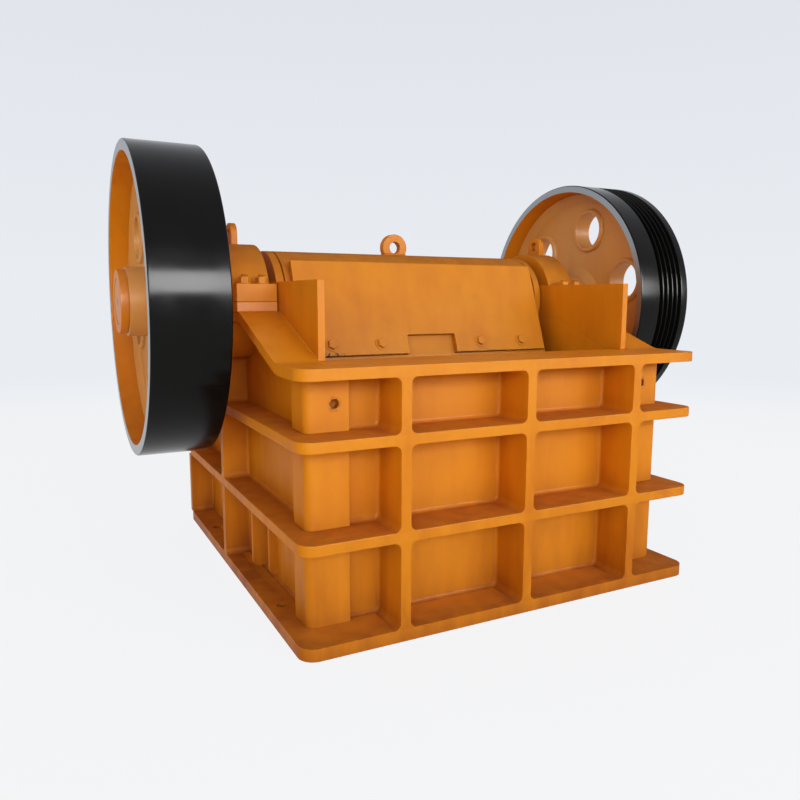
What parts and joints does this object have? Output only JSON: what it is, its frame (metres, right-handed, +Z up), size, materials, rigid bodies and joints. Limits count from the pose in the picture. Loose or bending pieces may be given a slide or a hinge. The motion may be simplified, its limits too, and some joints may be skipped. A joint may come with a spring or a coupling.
{
  "type": "jaw crusher",
  "caption": "Jaw crusher with a ribbed box frame, a swing jaw behind a sloping guard plate, an overhead shaft, a heavy flywheel and a grooved belt pulley.",
  "frame": {"origin": "centre of the base flange's underside, midway between the foundation bolt holes", "axes": "+X along the shaft from the flywheel to the belt pulley, +Y from the feed wall at the front to the rear wall, +Z up"},
  "size_m": [2.406, 1.752, 1.672],
  "materials": {
    "orange_enamel": "semi-gloss machine enamel over cast and welded steel",
    "wheel_enamel": "gloss black rim with bare turned side faces",
    "manganese_steel": "as-cast, dull",
    "machined_steel": "turned, lightly oiled",
    "spring_steel": "black"
  },
  "bodies": {
    "frame": {"base_flange": "orange_enamel", "lower_rib_ring": "orange_enamel", "upper_rib_ring": "orange_enamel", "front_deck_flange": "orange_enamel", "rear_deck_flange": "orange_enamel", "front_wall": "orange_enamel", "rear_wall": "orange_enamel", "right_side_wall": "orange_enamel", "left_side_wall": "orange_enamel", "right_cheek_plate": "orange_enamel", "left_cheek_plate": "orange_enamel", "right_rear_cheek_plate": "orange_enamel", "left_rear_cheek_plate": "orange_enamel", "right_corner_post": "orange_enamel", "left_corner_post": "orange_enamel", "front_upright_ribs": "orange_enamel", "rear_upright_ribs": "orange_enamel", "right_upright_ribs": "orange_enamel", "left_upright_ribs": "orange_enamel", "right_bearing_housing": "orange_enamel", "left_bearing_housing": "orange_enamel", "right_bearing_cap": "orange_enamel", "left_bearing_cap": "orange_enamel", "fixed_jaw_plate": "manganese_steel", "right_side_liner": "manganese_steel", "left_side_liner": "manganese_steel", "toggle_block": "orange_enamel"},
    "rotor": {"eccentric_shaft": "machined_steel", "flywheel_rim": "wheel_enamel", "flywheel_web": "orange_enamel", "pulley_rim": "wheel_enamel", "pulley_web": "orange_enamel", "right_seal_collar": "orange_enamel", "left_seal_collar": "orange_enamel", "pulley_end_ring": "orange_enamel", "flywheel_end_ring": "orange_enamel"},
    "swing_jaw": {"pitman": "orange_enamel", "guard_plate": "orange_enamel", "moving_jaw_plate": "manganese_steel", "lifting_eye": "orange_enamel", "tension_rods": "machined_steel", "tension_springs": "spring_steel"},
    "toggle": {"toggle_plate": "orange_enamel"}
  },
  "joints": [
    {"name": "shaft_turn", "type": "hinge", "parent": "frame", "child": "rotor", "pos_m": [0, 0.113, 1.089], "axis": [1, 0, 0], "continuous": true},
    {"name": "jaw_swing", "type": "hinge", "parent": "frame", "child": "swing_jaw", "pos_m": [0, 0.113, 1.089], "axis": [1, 0, 0], "range_deg": [-0.5, 0.5]},
    {"name": "toggle_tilt", "type": "hinge", "parent": "frame", "child": "toggle", "pos_m": [0, 0.533, 0.43], "axis": [1, 0, 0], "range_deg": [-0.25, 0.25]}
  ],
  "couplings": [
    {"joint": "toggle_tilt", "follows": "jaw_swing", "ratio": 0.43}
  ]
}
